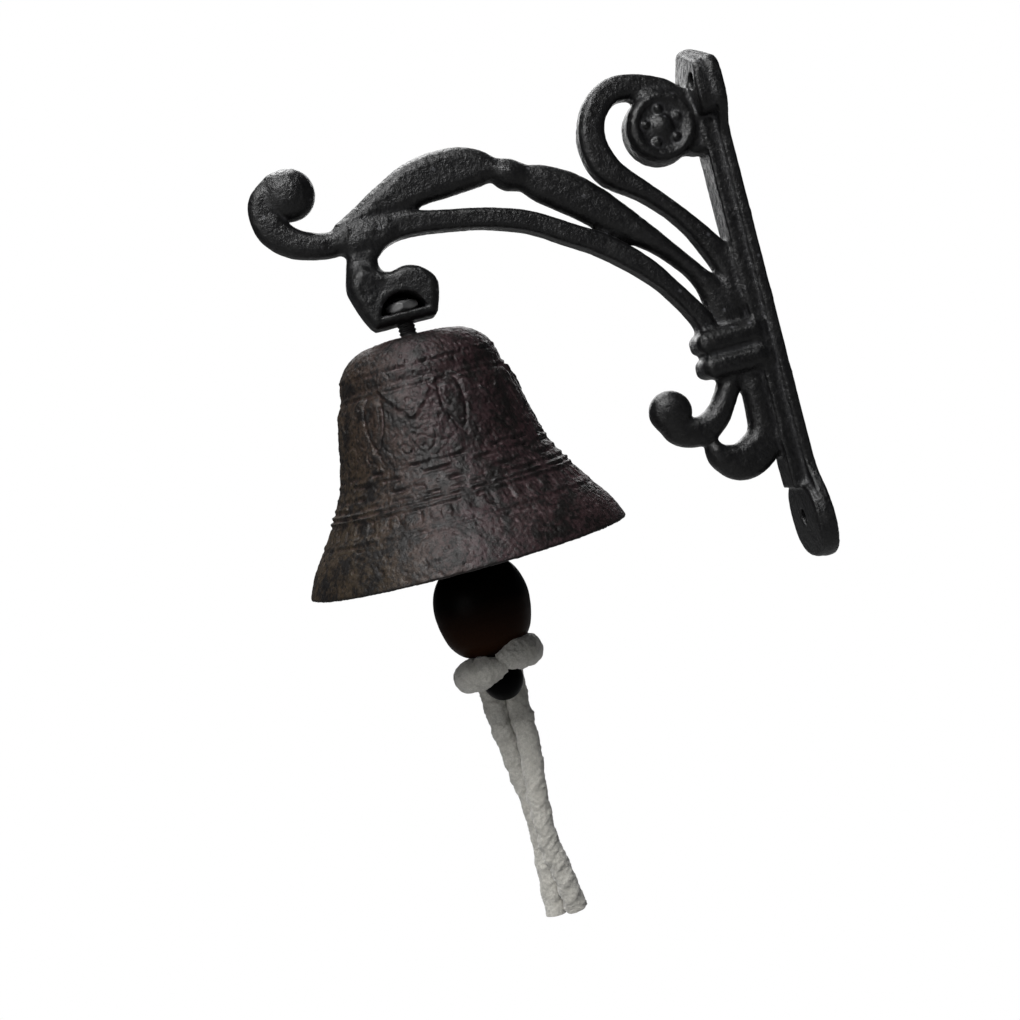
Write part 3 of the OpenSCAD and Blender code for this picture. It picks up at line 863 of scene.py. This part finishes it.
def bell_relief(angle, r, z, points):
    """Pennants, lines round the bell, a band of worn ornament, dashes, teeth and casting pits."""
    shape = np.broadcast_shapes(angle.shape, z.shape)
    worn = np.clip(0.8 + 0.4 * BELL_WORN(points).reshape(shape), 0.1, 1.2)
    out = pennant_relief(angle, r, z)
    for level, stands_out, width in LINES:
        out = out + stands_out * ridge(z - level, width)
    scribble = ridge(BELL_SCRIBBLE(points).reshape(shape), 0.3)
    out = out + 0.26 * (0.3 - scribble) * between(z, -18.6, -9.6, 0.6)
    for level, count, seed in DASHES:
        out = out - 0.6 * ridge(z - level, 0.42) * broken(angle, count, -0.1, seed)
        out = out + 0.25 * ridge(z - level - 1, 0.45) * broken(angle, count, -0.4, seed)
    teeth = between(np.sin(46 * angle) + 0.4 * np.sin(19 * angle), 0.1, 9, 0.15)
    out = out - 0.45 * teeth * between(z, -34.2, -31.2, 0.15)
    out = out - 0.4 * ridge(z + 37.6, 0.4) * broken(angle, 11, 0.8, 5.0)
    pits = np.clip(BELL_PITS(points).reshape(shape) - 1.5, 0, 1)
    rough = 0.03 * BELL_WORN(points) + 0.035 * BELL_GRAIN(points)
    clear = between(z, MOUTH_Z + 2, CROWN_TOP - 0.6, 0.3)
    return (out * worn - 0.3 * pits) * clear + rough.reshape(shape)


def add_bell(material):
    """The shell as one closed band: over the crown, down to the lip and back up inside."""
    flat_r, bore, crown_under = 11, BELL_BORE_R, CROWN_TOP - WALL_T
    crown = [(bore, CROWN_TOP), (flat_r, CROWN_TOP)]
    lip = [(45.2, MOUTH_Z - 0.1), (44.6, MOUTH_Z - 0.1)]
    outside = np.vstack([even(np.vstack([crown, bell_side(0)]), 0.33), lip])
    inside = bell_side(WALL_T)[::-1]
    under = even(np.vstack([inside, [(flat_r, crown_under), (bore, crown_under)]]), 1.1)
    hole = even([(bore, crown_under + 0.8), (bore, CROWN_TOP - 0.8)], 0.8)
    outer_points = revolve(outside, BELL_SIDES, bell_relief)
    inner_points = revolve(np.vstack([under, hole]), BELL_SIDES)
    vertices = np.vstack([outer_points, inner_points])
    faces = wrapped(len(vertices) // BELL_SIDES, BELL_SIDES, True)
    return add_piece("bell_shell_relief", vertices, faces, material,
                     "hanger", ["bell_shell"])


# ---- Clapper and hanger ----

def add_bob(material):
    """Ball that tapers into a neck with a knob under it, slightly uneven like a casting."""
    top = np.radians(np.linspace(86, -8, 36))
    ball = np.stack([BALL_R * np.cos(top), BALL_Z + BALL_R * np.sin(top)], 1)
    taper = smooth([(13.2, -66.4), (12.4, -69.4), (11.2, -72.3), (8.9, -75.2), (5.9, -77.1),
                    (NECK_R, -79), (NECK_R, -81.2)], 6)
    low = np.radians(np.linspace(36, -88, 24))
    knob = np.stack([KNOB_R * np.cos(low), KNOB_Z + KNOB_R * np.sin(low)], 1)
    profile = even(np.vstack([ball, taper, knob]), 0.5)
    uneven = Waves(6, 18)

    def relief(angle, r, z, points):
        fuller_in_front = 0.3 * ridge(z - BALL_Z + 10, 7) * (1 - np.sin(angle))
        return fuller_in_front + 0.07 * uneven(points).reshape(fuller_in_front.shape)

    sides = 120
    vertices = revolve(profile, sides, relief)
    return add_piece("clapper_bob_gloss", vertices, wrapped(len(profile), sides, False), material,
                     "clapper", ["clapper_bob"])


def add_bolt(material):
    """Eye bolt: a shank with a cut thread, and a ring under it."""
    pitch, thread_depth, shank_top = 1.1, 0.17, 25.9
    grid = Grid((-3, AXIS_Y - 5, EYE_Z - 5), (3, AXIS_Y + 5, shank_top + 0.6), STEEL_STEP)
    y = grid.y - AXIS_Y
    turn = np.arctan2(y, grid.x) / (2 * math.pi)
    thread = thread_depth * np.cos(2 * math.pi * (grid.z / pitch - turn))
    skin = np.hypot(grid.x, y) - BOLT_R + thread_depth - thread
    shank = np.maximum(skin, grid.z - shank_top)
    shank = np.maximum(shank, EYE_Z + 3 - grid.z)
    ring = np.hypot(np.hypot(y, grid.z - EYE_Z) - EYE_RING_R, grid.x) - EYE_WIRE_R
    return add_voxels("eye_bolt_threaded", grid, smin(shank, ring, 0.8), material,
                      "hanger", ["eye_bolt"])


def add_nut(material):
    """The nut in the boss's recess, with its corners chamfered."""
    across_flats, base, half_t, bore_r = 9.2, 21.9, 1.6, 2.4
    box = 5.8
    grid = Grid((-box, AXIS_Y - box, base - 0.6), (box, AXIS_Y + box, base + 3.8), STEEL_STEP)
    y = grid.y - AXIS_Y
    flat = np.float32(-50)
    for k in range(3):
        turn = math.radians(60 * k)
        across = np.abs(grid.x * math.sin(turn) + y * math.cos(turn))
        flat = np.maximum(flat, across - across_flats / 2)
    from_middle = np.abs(grid.z - base - half_t)
    body = rounded(flat, from_middle - half_t, 0.5)
    out = np.hypot(grid.x, y)
    chamfer = (out + from_middle * 1.3 - 6.1) * 0.6
    body = smax(body, chamfer, 0.3)
    return add_voxels("boss_nut_chamfered", grid, smax(body, bore_r - out, 0.3), material,
                      "hanger", ["boss_nut"])


# ---- Build ----

bpy.context.scene.view_settings.view_transform = "Standard"
add_camera()
add_world()
add_lights()
add_floor()

COTTON = cotton()
IRON = bracket_iron()
BELL = bell_iron()
STEEL = steel("dark_steel", 0.03, 0.08)
# A lighter copy of the dark steel for the nut: worn steel, and painted light that offsets the shade of
# the boss's recess.
WORN_STEEL_PAINTED_LIGHT = steel("worn_steel_painted_light", 0.09, 0.22)
LACQUER = clapper_gloss()

hitch = add_hitch(COTTON)
add_tail("rope_tail_front", ROPE_FRONT, COTTON)
add_tail("rope_tail_back", ROPE_BACK, COTTON)

CAST_LUMPS = Waves(5, 14)
CAST_GRAIN = Waves(1.2, 2.6)
for member in MEMBERS:
    add_casting(member, IRON, FINE_CAST_STEP if member == "scroll_rosette" else CAST_STEP)

BELL_WORN = Waves(2.4, 7)
BELL_GRAIN = Waves(0.9, 1.8, 24)
BELL_PITS = Waves(1.4, 3.2)
BELL_SCRIBBLE = Waves(4, 8, 10)
add_bell(BELL)
add_bob(LACQUER)
add_bolt(STEEL)
add_nut(WORN_STEEL_PAINTED_LIGHT)

for kept in ("crown_washer", "crown_nut", "clapper_link", "clapper_rod"):
    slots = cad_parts[kept].data.materials
    slots.clear()
    slots.append(STEEL)
